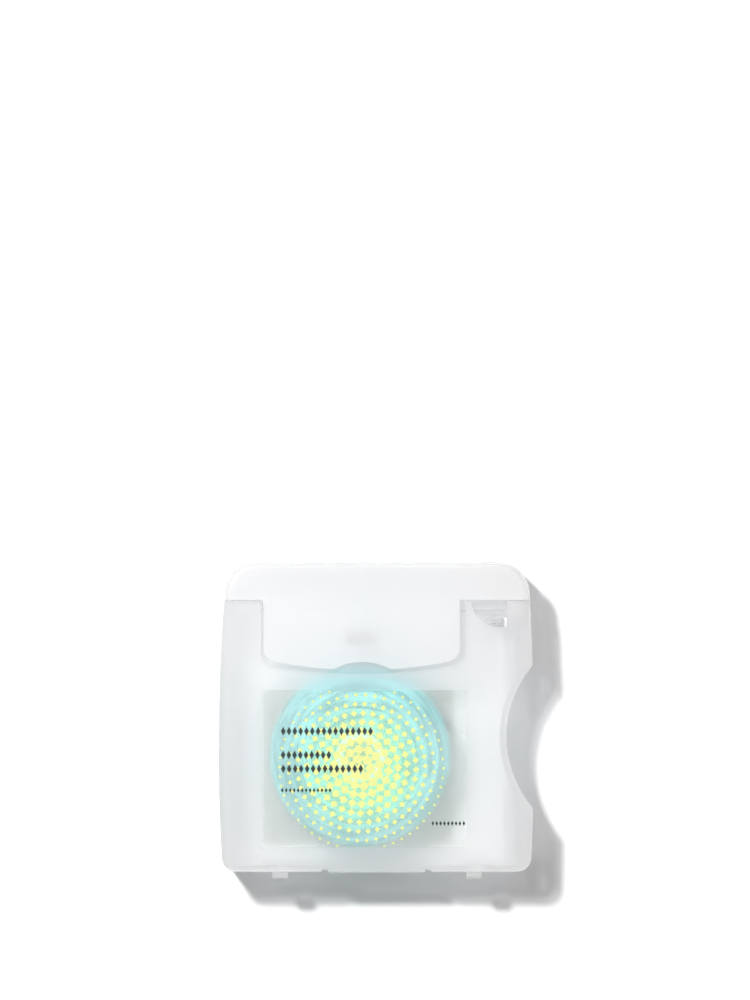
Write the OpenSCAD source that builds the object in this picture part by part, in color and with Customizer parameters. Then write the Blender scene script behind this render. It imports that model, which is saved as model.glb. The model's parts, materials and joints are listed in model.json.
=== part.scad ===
// Dental floss dispenser, lying on its back with its front up.
// X runs across the case, Y towards the lid, Z from the back wall to the front face.
// The origin is the middle of the whole outline, on the back face.

/* [Case] */
// Overall width of the case at its widest
case_w = 57; // [54:0.5:62]
// Height of the case from its bottom edge to the top of the lid
case_h = 56.2; // [54:0.2:60]
// Depth of the closed case from back to front
case_d = 16.5; // [15.5:0.1:18]
// Thickness of the side walls
wall = 1.2; // [0.9:0.1:1.5]
// Thickness of the back wall
back_t = 1.2; // [0.9:0.1:1.6]
// Thickness of the front face
face_t = 1.2; // [0.9:0.1:1.3]
// Depth of the front cover, from the front face to the joint with the rear case
cover_d = 3.5; // [3:0.1:4]
// Radius of the gentle bow of the left flank
left_bow_r = 350; // [250:10:600]
// Radius of the gentle bow of the right flank
right_bow_r = 500; // [350:10:700]
// Distance that the right flank's bow would stand out past the width, where the scallop takes it away
right_bow_out = 0.14; // [0.05:0.01:0.25]
// Height of the widest place above the bottom edge
widest_h = 23; // [18:0.5:28]
// Radius of the two corners at the lid end
top_corner_r = 5.7; // [4:0.1:7]
// Radius of the two corners at the bottom edge
bottom_corner_r = 2.7; // [2:0.1:4]
// Gap between the rear case and the closed front cover
parting_gap = 0.05; // [0.05:0.01:0.1]

/* [Finger scallop] */
// Radius of the scallop in the right flank
scallop_r = 20; // [18:0.5:24]
// Depth of the scallop
scallop_depth = 4.8; // [3.5:0.1:5]
// Height of the scallop's middle above the bottom edge
scallop_h = 24.5; // [22:0.5:27]
// Rounding of the two edges of the scallop
scallop_edge_r = 1.2; // [0.8:0.1:2]

/* [Inside of the case] */
// Distance of the chamber's right-hand wall from the widest place of the right flank
bay_w = 4.3; // [3.9:0.1:4.5]
// Thickness of that wall
partition_t = 1; // [0.8:0.1:1.2]
// Distance that the cover's lips reach into the rear case
lip_depth = 1.2; // [0.8:0.1:1.6]
// Thickness of the cover's lips
lip_t = 0.8; // [0.6:0.05:1]
// Gap between a lip and the wall that it lies along
lip_gap = 0.1; // [0.1:0.05:0.3]
// Width of the left stretch of the bottom lip
lip_left_w = 13; // [8:0.5:14]
// Width of the right stretch of the bottom lip
lip_right_w = 6; // [4:0.5:7]
// Distance of the right stretch of the bottom lip from the middle of the case
lip_right_x = 16; // [15:0.5:17]

/* [Front cover] */
// Radius of the latch window
window_r = 5.4; // [4.8:0.1:5.8]
// Width that the window's straight side cuts off beyond its centre
window_side = 1.2; // [0.8:0.1:1.4]
// Distance of the window's centre from the chamber's right-hand wall
window_inset = 1.7; // [1.4:0.1:2.2]
// Distance of the window's centre above the lower edge of the lid
window_rise = 0.5; // [0:0.1:1]
// Width of one lug on the bottom edge
lug_w = 2.85; // [2:0.05:4]
// Distance that a lug stands out of the bottom edge
lug_reach = 1.2; // [0.8:0.1:1.4]
// Height of a lug's lower face above the joint of the two shells
lug_lift = 0.4; // [0.4:0.05:0.6]
// Distance of a lug's upper face behind the front face
lug_setback = 0.4; // [0.2:0.1:0.8]
// Chamfer of a lug's outer edges
lug_chamfer = 0.25; // [0.1:0.05:0.4]
// Distance of the left lug from the middle of the case
lug_left_x = 17.3; // [16:0.1:19]
// Distance of the right lug from the middle of the case
lug_right_x = 17.8; // [16:0.1:19]
// Width of the rib behind each lug
lug_rib_w = 2; // [1:0.1:2.4]
// Length of the rib behind each lug, inside the cover
lug_rib_l = 0.6; // [0.4:0.1:0.8]

/* [Film hinges] */
// Width of the film hinge between the two shells
film_w = 17.6; // [14:0.2:20]
// Thickness of the film hinges
film_t = 0.3; // [0.2:0.05:0.4]
// Height of each half of the cover's film hinge
film_h = 1.1; // [0.8:0.1:1.4]
// Width of the relief at each end of the cover's film hinge
relief_w = 1.2; // [0.8:0.1:2]
// Depth of that relief
relief_d = 0.35; // [0.2:0.05:0.4]
// Width of the lid's film hinge
lid_film_w = 36; // [30:1:40]
// Length of the lid's film hinge along the back
lid_film_l = 1.4; // [1:0.1:1.8]

/* [Flip lid] */
// Height of the lid's band across the front
lid_h = 6.9; // [6:0.1:7.5]
// Thickness of the lid's walls
lid_wall = 1.2; // [0.9:0.1:1.4]
// Gap between the lid and both shells
lid_gap = 0.2; // [0.15:0.05:0.3]
// Distance of the flap's left edge from the widest place of the left flank
flap_side_left = 8.1; // [7.6:0.1:9]
// Distance of the flap's right edge from the chamber's right-hand wall
flap_side_right = 9; // [8.8:0.1:10]
// Length of the flap below the lid's band
flap_l = 12.7; // [11:0.1:12.8]
// Thickness of the flap
flap_t = 0.9; // [0.7:0.05:1]
// Radius of the flap's bowed lower edge
flap_bow_r = 83; // [70:1:120]
// Radius of the flap's two corners
flap_corner_r = 2.6; // [2:0.1:4]
// Gap between the flap and the cover on the left
flap_gap_left = 0.4; // [0.3:0.05:0.6]
// Gap between the flap and the cover on the right
flap_gap_right = 1; // [0.4:0.05:1.2]
// Gap between the flap and the cover below
flap_gap_low = 0.85; // [0.5:0.05:1]
// Width of the thumb notch in the flap's lower edge
notch_w = 10.9; // [9:0.1:13]
// Height of the thumb notch
notch_h = 1.5; // [1.2:0.1:2]

/* [Inner deck] */
// Depth of the recessed panel behind the front face
panel_depth = 1.7; // [1.6:0.05:2]
// Thickness of the panel and of the sloped roof
deck_t = 0.8; // [0.7:0.05:0.8]
// Distance of the sloped roof below the rim of the rear case
roof_drop = 0.8; // [0.6:0.05:1]
// Distance that the panel runs under the cover at its sides
panel_lap = 0.8; // [0.5:0.1:1]
// Distance that the panel runs under the cover below
panel_lap_low = 0.5; // [0.4:0.05:0.5]
// Thickness of the rim that lines the cover's cut-out
rim_t = 0.8; // [0.6:0.1:1]
// Gap between that rim and the panel
rim_gap = 0.15; // [0.1:0.05:0.2]
// Gap between the deck and the walls of the rear case
deck_fit = 0.05; // [0.03:0.01:0.1]
// Radius of the hole that the floss comes out of
guide_r = 1.2; // [0.9:0.1:1.4]
// Height of that hole below the joint of the two shells
guide_fall = 2.6; // [2.2:0.1:3]
// Width of the groove that the floss lies in
groove_w = 0.8; // [0.7:0.05:1]
// Depth of the groove
groove_d = 0.4; // [0.35:0.05:0.45]

/* [Cutter] */
// Width of the cutter
cutter_w = 5.1; // [4:0.1:7]
// Length of the blade
cutter_l = 1.7; // [1.4:0.1:2.2]
// Thickness of the steel
cutter_t = 0.25; // [0.2:0.05:0.3]
// Gap between the blade and the panel
cutter_lift = 0.25; // [0.2:0.05:0.25]
// Distance of the cutter's back edge below the lid's band
cutter_drop = 7.6; // [7:0.1:8.5]
// Number of teeth on the blade
cutter_teeth = 8; // [5:1:12]
// Depth of the teeth
tooth_d = 0.4; // [0.2:0.05:0.5]
// Gap round the cutter's leg in its slot
slot_fit = 0.05; // [0.03:0.01:0.08]

/* [Latch] */
// Width of the latch hook
hook_w = 2.5; // [2:0.1:2.7]
// Thickness of the hook's arm
hook_t = 0.9; // [0.7:0.1:1]
// Radius of the hook's rounded head
hook_r = 0.65; // [0.5:0.05:0.7]
// Distance of the hook's head behind the front face
hook_setback = 0.6; // [0.4:0.1:0.9]
// Distance of the hook's right edge from the window's straight side
hook_inset = 0.8; // [0.6:0.1:0.9]
// Distance of the hook's middle below the lower edge of the lid
hook_drop = 3.6; // [3.4:0.1:3.8]

/* [Spool] */
// Distance of the spool's axis to the left of the case's middle
spool_off = 2.85; // [2.5:0.05:3.5]
// Gap between the winding and the bottom wall
winding_clear = 3; // [2.5:0.1:4]
// Distance that the winding reaches under the recessed panel
winding_tuck = 1.95; // [1.5:0.05:2.1]
// Radius of the post that the spool turns on
post_r = 3; // [2.6:0.1:3.4]
// Radius of the coring in the post
post_core_r = 1.8; // [1.4:0.1:2]
// Running gap between the post and the spool's core
post_fit = 0.05; // [0.03:0.01:0.08]
// Wall of the spool's core
core_wall = 1.45; // [1.2:0.05:2]
// Height of the seat that the core turns on
seat_h = 0.4; // [0.3:0.05:0.6]
// Gap under the spool's core
seat_gap = 0.1; // [0.05:0.05:0.2]
// Gap between the winding and the front face
front_gap = 0.5; // [0.4:0.05:0.8]
// Rounding of the winding's front edge
winding_round = 5.5; // [5.3:0.1:6]
// Rounding of the winding's back edge
winding_back_round = 1.2; // [1:0.1:2]
// Gap between the winding's back and the back wall
winding_back_gap = 0.9; // [0.7:0.05:1.2]
// Thickness of the floss
floss_d = 0.55; // [0.5:0.05:0.55]
// Distance between two turns of the outer layer
turn_pitch = 0.98; // [0.97:0.01:1.4]
// Direction from the spool's axis in which the outer layer ends
floss_end_angle = 34; // [30:1:40]
// Gap between the outer layer and what it lies on
layer_gap = 0.02; // [0.01:0.01:0.04]

/* [Labels] */
// Thickness of the labels
label_t = 0.08; // [0.05:0.01:0.12]
// Width of the front label
label_w = 37; // [32:0.5:38]
// Height of the front label
label_h = 28.4; // [24:0.2:29]
// Distance of the front label's left edge from the middle of the case
label_left = 20.5; // [19:0.1:22]
// Height of the labels' lower edges above the bottom edge
label_low = 4.5; // [4:0.1:6]
// Corner radius of the labels
label_r = 1; // [0.5:0.1:2]
// Width of the back label
back_label_w = 34.7; // [30:0.1:36]
// Depth of the recess that the back label lies in
label_recess = 0.15; // [0.14:0.01:0.2]
// Margin round the back label in its recess
label_margin = 0.2; // [0.1:0.05:0.4]

/* [Hidden] */
$fn = 96;

// Overrun of every cut past the face that it opens
over = 1;
// Smallest corner radius left where an outline is drawn in
corner_min = 0.2;
// Steps of the drawn arcs
corner_steps = 10;
flank_steps = 6;
scallop_steps = 18;
edge_steps = 4;
bow_steps = 12;
// Rings in one turn of the outer layer, and sides of its tube
turn_rings = 24;
turn_sides = 6;
// Rings in the bend that starts the outer layer
bend_rings = 3;
// Sides of the floss lead's tube
lead_sides = 8;

y_bottom = lug_reach - (case_h + lug_reach) / 2;
y_top = y_bottom + case_h;
parting_z = case_d - cover_d;
face_z = case_d - face_t;
widest_y = y_bottom + widest_h;
scallop_c = [case_w / 2 - scallop_depth + scallop_r, y_bottom + scallop_h];
partition_x = case_w / 2 - bay_w;
lid_y = y_top - lid_h;
cover_top_y = lid_y - lid_gap;
flap_low_y = lid_y - flap_l;
flap_x0 = flap_side_left - case_w / 2;
flap_x1 = partition_x - flap_side_right;
flap_x = (flap_x0 + flap_x1) / 2;
panel_z = case_d - panel_depth;
panel_low_y = flap_low_y - flap_gap_low - panel_lap_low;
winding_low_y = y_bottom + wall + winding_clear;
winding_r = (panel_low_y + winding_tuck - winding_low_y) / 2;
spool_c = [-spool_off, winding_low_y + winding_r];
core_r = post_r + post_fit + core_wall;
core_z = back_t + seat_h + seat_gap;
window_c = [partition_x - window_inset, lid_y + window_rise];
film_x = (lug_right_x - lug_left_x) / 4 - film_w / 2;

// The lid's edge slopes from the joint of the shells back to the top rear edge.
slope_angle = atan2(parting_z, y_top - lid_y);
slope_n = [sin(slope_angle), cos(slope_angle)];
// Height of the roof's outer face along its slope, as Y for a given Z
function roof_y(z, sink) = lid_y + (parting_z - z) / tan(slope_angle) - sink / slope_n[0];
roof_top_y = roof_y(panel_z, roof_drop);
guide_z = parting_z - guide_fall;
guide_at = [roof_y(guide_z, roof_drop), guide_z];
cutter_y = lid_y - cutter_drop;
cutter_x = flap_x;

// Points on an arc, with its last point or without it
function arc(c, r, a0, a1, n) =
    [for (i = [0:n]) c + r * [cos(a0 + (a1 - a0) * i / n), sin(a0 + (a1 - a0) * i / n)]];
function open_arc(c, r, a0, a1, n) =
    [for (i = [0:n - 1]) c + r * [cos(a0 + (a1 - a0) * i / n), sin(a0 + (a1 - a0) * i / n)]];
function heading(v) = atan2(v[1], v[0]);
// The point at distance rp from p and rq from q, on the left of the way from p to q, or on the right
function meet(p, rp, q, rq, side) =
    let (d = norm(q - p), u = (q - p) / d, a = (d * d + rp * rp - rq * rq) / (2 * d))
    p + a * u + side * sqrt(rp * rp - a * a) * [-u[1], u[0]];

// How far a corner's middle, at height y, lies across from the middle of the flank's bow
function corner_way(flank_r, corner_r, y) = sqrt((flank_r - corner_r) ^ 2 - (y - widest_y) ^ 2);

// Outline of the case seen from the front, drawn in by inset
function outline(inset) = let (
    right_c = [case_w / 2 + right_bow_out - right_bow_r, widest_y],
    left_c = [left_bow_r - case_w / 2, widest_y],
    flank_r = right_bow_r - inset,
    left_r = left_bow_r - inset,
    top_r = max(top_corner_r - inset, corner_min),
    low_r = max(bottom_corner_r - inset, corner_min),
    edge_r = max(scallop_edge_r - inset, corner_min),
    hollow_r = scallop_r + inset,
    top_y = y_top - inset - top_r,
    low_y = y_bottom + inset + low_r,
    top_c = [right_c[0] + corner_way(flank_r, top_r, top_y), top_y],
    low_c = [right_c[0] + corner_way(flank_r, low_r, low_y), low_y],
    left_top_c = [left_c[0] - corner_way(left_r, top_r, top_y), top_y],
    left_low_c = [left_c[0] - corner_way(left_r, low_r, low_y), low_y],
    upper_c = meet(scallop_c, hollow_r + edge_r, right_c, flank_r - edge_r, -1),
    lower_c = meet(scallop_c, hollow_r + edge_r, right_c, flank_r - edge_r, 1),
    top_a = heading(top_c - right_c),
    low_a = heading(low_c - right_c),
    left_top_a = heading(left_top_c - left_c),
    left_low_a = heading(left_low_c - left_c) + 360)
    concat(
        open_arc(low_c, low_r, -90, low_a, corner_steps),
        open_arc(right_c, flank_r, low_a, heading(lower_c - right_c), flank_steps),
        open_arc(lower_c, edge_r, heading(lower_c - right_c), heading(scallop_c - lower_c), edge_steps),
        open_arc(scallop_c, hollow_r, heading(lower_c - scallop_c) + 360,
            heading(upper_c - scallop_c), scallop_steps),
        open_arc(upper_c, edge_r, heading(scallop_c - upper_c), heading(upper_c - right_c), edge_steps),
        open_arc(right_c, flank_r, heading(upper_c - right_c), top_a, flank_steps),
        arc(top_c, top_r, top_a, 90, corner_steps),
        open_arc(left_top_c, top_r, 90, left_top_a, corner_steps),
        open_arc(left_c, left_r, left_top_a, left_low_a, 2 * flank_steps),
        arc(left_low_c, low_r, left_low_a, 270, corner_steps));

// Shape of the flap, or of what follows it: sides grown by left, right and low, up to the line top
function tongue(left, right, low, top) = let (
    x0 = flap_x0 - left,
    x1 = flap_x1 + right,
    r = flap_corner_r,
    bow_r = flap_bow_r + low,
    bow_c = [flap_x, flap_low_y + flap_bow_r],
    c1 = [x1 - r, bow_c[1] - sqrt((bow_r - r) ^ 2 - (x1 - r - bow_c[0]) ^ 2)],
    c0 = [x0 + r, bow_c[1] - sqrt((bow_r - r) ^ 2 - (x0 + r - bow_c[0]) ^ 2)])
    concat(
        [[x0, top]],
        open_arc(c0, r, 180, heading(c0 - bow_c) + 360, corner_steps),
        open_arc(bow_c, bow_r, heading(c0 - bow_c), heading(c1 - bow_c), bow_steps),
        arc(c1, r, heading(c1 - bow_c), 0, corner_steps),
        [[x1, top]]);

// A block with the case's outline
module block(inset, z0, z1) {
    translate([0, 0, z0]) linear_extrude(z1 - z0) polygon(outline(inset));
}

// A box between two corners
module span(low, high) {
    translate(low) cube(high - low);
}

// A side view, drawn as Y and Z, run across the whole width
module across(half_width) {
    translate([-half_width, 0, 0]) rotate([90, 0, 90]) linear_extrude(2 * half_width) children();
}

// Side view of the space that belongs to the lid, moved down by shift
module lid_zone(shift) {
    translate([-shift, 0]) polygon([
        [lid_y, parting_z],
        [y_top, 0],
        [y_top + over, 0],
        [y_top + over, case_d + over],
        [lid_y, case_d + over]]);
}

// Side view of all that lies over a line parallel to the lid's slope and sunk below it
module above_roof(sink) {
    polygon([
        [roof_y(-over, sink), -over],
        [y_top + case_h, -over],
        [y_top + case_h, case_d + over],
        [roof_y(case_d + over, sink), case_d + over]]);
}

// Rounded rectangle with its lower left corner at the origin
module plate(w, h, r) {
    translate([r, 0]) square([w - 2 * r, h]);
    translate([0, r]) square([w, h - 2 * r]);
    for (x = [r, w - r], y = [r, h - r]) translate([x, y]) circle(r);
}

// Relief in the bottom edge beside both ends of the film hinge
module film_relief(z0, z1) {
    for (x = [film_x - relief_w, film_x + film_w])
        span([x, y_bottom - over, z0], [x + relief_w, y_bottom + relief_d, z1]);
}

module rear_case() {
    color([0.92, 0.94, 0.95, 0.5]) union() {
        difference() {
            block(0, 0, parting_z);
            across(case_w) lid_zone(lid_gap);
            block(wall, back_t, parting_z + over);
            film_relief(-over, parting_z + over);
            // Recess of the back label
            translate([-label_left - label_margin, y_bottom + label_low - label_margin, -over])
                linear_extrude(label_recess + over)
                plate(back_label_w + 2 * label_margin, label_h + 2 * label_margin, label_r);
            // Room for the lid's film hinge
            span([-lid_film_w / 2, y_top - lid_film_l, -over], [lid_film_w / 2, y_top + over, back_t + over]);
        }
        // Straight right-hand wall of the chamber
        difference() {
            intersection() {
                block(wall / 2, back_t / 2, parting_z - parting_gap);
                span([partition_x, y_bottom, 0], [partition_x + partition_t, y_top, case_d]);
            }
            across(case_w) above_roof(roof_drop + deck_t + deck_fit);
        }
        // Post of the spool, cored from the front, on its seat
        translate([spool_c[0], spool_c[1], 0]) difference() {
            union() {
                translate([0, 0, back_t / 2]) cylinder(r = core_r, h = back_t / 2 + seat_h);
                translate([0, 0, back_t / 2]) cylinder(r = post_r, h = panel_z - back_t / 2);
            }
            translate([0, 0, back_t]) cylinder(r = post_core_r, h = case_d);
        }
    }
}

module inner_deck() {
    slot_y = cutter_y - slot_fit;
    color([0.86, 0.9, 0.92, 0.6]) difference() {
        union() {
            // Recessed panel under the flap
            translate([0, 0, panel_z - deck_t]) linear_extrude(deck_t) polygon(tongue(
                flap_gap_left + panel_lap, flap_gap_right + panel_lap, flap_gap_low + panel_lap_low,
                roof_top_y));
            // Sloped roof of the spool chamber, cut to the case's inside
            intersection() {
                block(wall + deck_fit, back_t, panel_z);
                difference() {
                    across(case_w) above_roof(roof_drop + deck_t);
                    across(case_w + over) above_roof(roof_drop);
                }
            }
        }
        // Groove that the floss lies in
        span([cutter_x - groove_w / 2, cutter_y + cutter_t + slot_fit, panel_z - groove_d],
            [cutter_x + groove_w / 2, y_top, case_d]);
        // Slot of the cutter's leg
        span([cutter_x - cutter_w / 2 - slot_fit, slot_y, panel_z - deck_t - over],
            [cutter_x + cutter_w / 2 + slot_fit, slot_y + cutter_t + 2 * slot_fit, panel_z + over]);
        // Hole that the floss comes out of, square to the slope
        translate([cutter_x, guide_at[0], guide_at[1]]) rotate([-slope_angle, 0, 0])
            cylinder(r = guide_r, h = 4 * deck_t, center = true);
    }
}

module latch_hook() {
    x1 = window_c[0] + window_side - hook_inset;
    y = lid_y - hook_drop;
    z = case_d - hook_setback - hook_r;
    color([0.95, 0.96, 0.97, 0.7]) union() {
        span([x1 - hook_w, y - hook_t / 2, back_t], [x1, y + hook_t / 2, z]);
        translate([x1 - hook_w, y, z]) rotate([0, 90, 0]) cylinder(r = hook_r, h = hook_w);
    }
}

module cutter() {
    pitch = cutter_w / cutter_teeth;
    blade_z = panel_z + cutter_lift;
    tip_y = cutter_y + cutter_l;
    x0 = cutter_x - cutter_w / 2;
    color([0.62, 0.64, 0.66]) union() {
        // Toothed blade
        translate([0, 0, blade_z]) linear_extrude(cutter_t) polygon(concat(
            [[x0 + cutter_w, cutter_y], [x0 + cutter_w, tip_y - tooth_d]],
            [for (i = [cutter_teeth - 1:-1:0], step = [0.5, 0])
                [x0 + (i + step) * pitch, step > 0 ? tip_y : tip_y - tooth_d]],
            [[x0, cutter_y]]));
        // Leg that is pressed into the panel's slot
        span([x0, cutter_y, panel_z - deck_t], [x0 + cutter_w, cutter_y + cutter_t, blade_z + cutter_t]);
    }
}

module back_label() {
    translate([-label_left, y_bottom + label_low, label_recess - label_t]) linear_extrude(label_t)
        color([0.95, 0.95, 0.94]) plate(back_label_w, label_h, label_r);
}

module front_label() {
    translate([-label_left, y_bottom + label_low, case_d]) linear_extrude(label_t)
        color([0.9, 0.94, 0.94, 0.4]) plate(label_w, label_h, label_r);
}

// One half of the film between the two shells
module film_half(z0) {
    color([0.95, 0.96, 0.97, 0.7])
        span([film_x, y_bottom - film_t, z0], [film_x + film_w, y_bottom, z0 + film_h]);
}

module case_film_hinge() {
    film_half(parting_z - parting_gap - film_h);
}

module cover_film_hinge() {
    film_half(parting_z + parting_gap);
}

module lid_film_hinge() {
    color([0.95, 0.96, 0.97, 0.7]) span([-lid_film_w / 2, y_top - lid_film_l, 0],
        [lid_film_w / 2, y_top - parting_gap, film_t]);
}

module front_cover() {
    cover_z = parting_z + parting_gap;
    lip_z = parting_z - lip_depth;
    lip_x = partition_x - lip_gap;
    lip_y = y_bottom + wall + lip_gap;
    lip_reach = sqrt((scallop_r + wall) ^ 2 - (scallop_c[0] - lip_x) ^ 2) + lip_gap + lip_t / 2;
    lip_top_y = roof_y(panel_z, roof_drop + deck_t) - lip_gap - deck_t / 2;
    color([0.93, 0.95, 0.96, 0.45]) difference() {
        union() {
            // Shell, open at the lid end
            difference() {
                block(0, cover_z, case_d);
                block(wall, cover_z - over, face_z);
                span([-case_w, cover_top_y, 0], [case_w, y_top + over, case_d + over]);
            }
            // Rim that lines the cut-out
            intersection() {
                translate([0, 0, panel_z + rim_gap]) linear_extrude(face_z - panel_z)
                    polygon(tongue(flap_gap_left + rim_t, flap_gap_right + rim_t, flap_gap_low + rim_t,
                        cover_top_y));
                block(wall, 0, case_d);
            }
            // Lips that locate the cover along the chamber's right-hand wall
            span([lip_x - lip_t, scallop_c[1] + lip_reach, lip_z], [lip_x, lip_top_y, face_z + face_t / 2]);
            span([lip_x - lip_t, lip_y, lip_z], [lip_x, scallop_c[1] - lip_reach, face_z + face_t / 2]);
            // Lips along the bottom edge, left open at the film hinge
            span([-label_left, lip_y, lip_z], [lip_left_w - label_left, lip_y + lip_t, face_z + face_t / 2]);
            span([lip_right_x, lip_y, lip_z], [lip_right_x + lip_right_w, lip_y + lip_t, face_z + face_t / 2]);
            // Ribs behind the lugs
            for (x = [-lug_left_x, lug_right_x])
                span([x - lug_rib_w / 2, y_bottom + wall / 2, cover_z],
                    [x + lug_rib_w / 2, y_bottom + wall + lug_rib_l, face_z + face_t / 2]);
        }
        // Cut-out round the lid's flap
        translate([0, 0, parting_z - over]) linear_extrude(cover_d + 2 * over)
            polygon(tongue(flap_gap_left, flap_gap_right, flap_gap_low, lid_y + over));
        // Latch window
        translate([0, 0, face_z - over]) linear_extrude(face_t + 2 * over) intersection() {
            translate(window_c) circle(window_r);
            translate([window_c[0] - window_r, lid_y - window_r])
                square([window_r + window_side, window_r + over]);
        }
        film_relief(parting_z - over, case_d + over);
    }
}

// Stop lug on the bottom edge, drawn in side view and run across its width
module lug(x) {
    z0 = parting_z + lug_lift;
    z1 = case_d - lug_setback;
    c = lug_chamfer;
    y = y_bottom - lug_reach;
    color([0.95, 0.96, 0.97, 0.7]) translate([x, 0, 0]) across(lug_w / 2) polygon([
        [y_bottom, z0], [y_bottom, z1], [y + c, z1], [y, z1 - c], [y, z0 + c], [y + c, z0]]);
}

module cover_lug_left() {
    lug(-lug_left_x);
}

module cover_lug_right() {
    lug(lug_right_x);
}

module flip_lid() {
    notch_r = (notch_w ^ 2 / 4 + notch_h ^ 2) / (2 * notch_h);
    color([0.95, 0.96, 0.97, 0.6]) difference() {
        union() {
            // Cap over the sloped end of the case
            difference() {
                intersection() {
                    block(0, film_t + parting_gap, case_d);
                    across(case_w) lid_zone(0);
                }
                block(lid_wall, -over, face_z);
            }
            // Front flap, carried a little way into the band
            translate([0, 0, case_d - flap_t]) linear_extrude(flap_t)
                polygon(tongue(0, 0, 0, lid_y + lid_wall));
        }
        translate([flap_x, flap_low_y + notch_h - notch_r, face_z]) cylinder(r = notch_r, h = case_d);
    }
}

module spool_core() {
    color([0.94, 0.95, 0.95]) translate([spool_c[0], spool_c[1], core_z]) difference() {
        cylinder(r = core_r, h = face_z - front_gap - core_z + layer_gap);
        translate([0, 0, -over]) cylinder(r = post_r + post_fit, h = case_d);
    }
}

// Values of the winding: the outer layer's middle line follows the plain winding's profile
winding_z0 = back_t + winding_back_gap;
winding_z1 = face_z - front_gap;
layer_in = floss_d / 2;
path_r = winding_r - layer_in;
// The turns run in straight steps, so their middles come nearer to the axis than their rings
layer_sink = layer_gap + path_r * (1 - cos(180 / turn_rings));
skin_r = winding_r - floss_d - layer_sink;
skin_z = winding_z1 - floss_d - layer_sink;
skin_round = winding_round - floss_d - layer_sink;
path_z = winding_z1 - layer_in;
path_round = winding_round - layer_in;
// The layer starts square to the core, bends once and then winds outwards
face_r0 = 2 * floss_d + sqrt((core_r + 2 * layer_gap) ^ 2 - floss_d ^ 2);
face_len = winding_r - winding_round - face_r0;
round_len = path_round * PI / 2;
path_low_z = winding_z0 + winding_back_round;
wall_len = path_z - path_round - path_low_z;
path_len = face_len + round_len + wall_len;

module floss_winding() {
    b = winding_back_round;
    color([0.6, 0.86, 0.84]) translate([spool_c[0], spool_c[1], 0]) rotate_extrude() polygon(concat(
        [[core_r, winding_z0]],
        arc([skin_r - b, winding_z0 + b], b, -90, 0, corner_steps),
        arc([skin_r - skin_round, skin_z - skin_round], skin_round, 0, 90, corner_steps),
        [[core_r, skin_z]]));
}

// Radius and height on the outer layer's middle line, and the way out of the winding there
function layer_place(s) =
    s < face_len ? [face_r0 + s, path_z] :
    s < face_len + round_len ?
        let (a = 90 - (s - face_len) / path_round * 180 / PI)
        [path_r - path_round + path_round * cos(a), path_z - path_round + path_round * sin(a)] :
    [path_r, path_z - path_round - (s - face_len - round_len)];
function layer_out(s) =
    let (a = 90 - min(max((s - face_len) / path_round * 180 / PI, 0), 90)) [cos(a), sin(a)];
function around(place, a) = [place[0] * cos(a), place[0] * sin(a), place[1]];

layer_rings = floor(path_len / turn_pitch) * turn_rings;
function layer_angle(i) = floss_end_angle + (i - layer_rings) * 360 / turn_rings;
start_out = [cos(layer_angle(0)), sin(layer_angle(0)), 0];
start_on = [-sin(layer_angle(0)), cos(layer_angle(0)), 0];
bend_c = (face_r0 - floss_d) * start_out + [0, 0, path_z];
bend_path = concat(
    [bend_c - floss_d * (start_on + start_out)],
    [for (i = [0:bend_rings - 1]) let (a = i * 90 / bend_rings)
        bend_c + floss_d * (sin(a) * start_out - cos(a) * start_on)]);
turn_path = [for (i = [0:layer_rings]) around(layer_place(i * path_len / layer_rings), layer_angle(i))];
end_on = [-sin(floss_end_angle), cos(floss_end_angle), 0];
layer_path = concat(bend_path, turn_path, [turn_path[layer_rings] + floss_d * end_on]);
layer_outs = concat(
    [for (p = bend_path) [0, 0, 1]],
    [for (i = [0:layer_rings]) around(layer_out(i * path_len / layer_rings), layer_angle(i))],
    [[cos(floss_end_angle), sin(floss_end_angle), 0]]);
// Least gap of the layer to itself, measured between points half a turn or more apart
layer_clear = min([for (i = [0:len(layer_path) - 1], j = [i + turn_rings / 2:1:len(layer_path) - 1])
    norm(layer_path[i] - layer_path[j])]) - floss_d;
echo(least_gap_of_the_outer_layer = layer_clear);

// Route of the floss from the winding through the deck's hole to the cutter
lead_points = [
    [11.3, 2.8, 3.3], [10.5, 3.9, 3.4], [9.7, 5.0, 3.6], [8.8, 6.2, 3.9], [7.9, 7.4, 4.3],
    [7.0, 8.7, 4.7], [6.1, 9.9, 5.2], [5.2, 11.1, 5.7], [4.3, 12.4, 6.2], [3.4, 13.6, 6.7],
    [2.5, 14.8, 7.2], [1.6, 16.1, 7.7], [0.7, 17.3, 8.2], [-0.2, 18.5, 8.7], [-1.1, 19.7, 9.2],
    [-1.9, 20.8, 9.6], [-2.4, 21.6, 10.0], [-2.6, 22.2, 10.35], [-2.6, 22.8, 10.8],
    [-2.6, 23.05, 11.35], [-2.6, 23.0, 11.95], [-2.6, 22.65, 12.5], [-2.6, 22.15, 12.95],
    [-2.6, 21.65, 13.4], [-2.6, 21.15, 13.85], [-2.6, 20.7, 14.35], [-2.6, 20.25, 14.68],
    [-2.6, 19.6, 14.73], [-2.6, 18.5, 14.72], [-2.6, 17.3, 14.72], [-2.6, 16.1, 14.72],
    [-2.6, 15.3, 14.72], [-2.6, 14.8, 14.72]];

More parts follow.
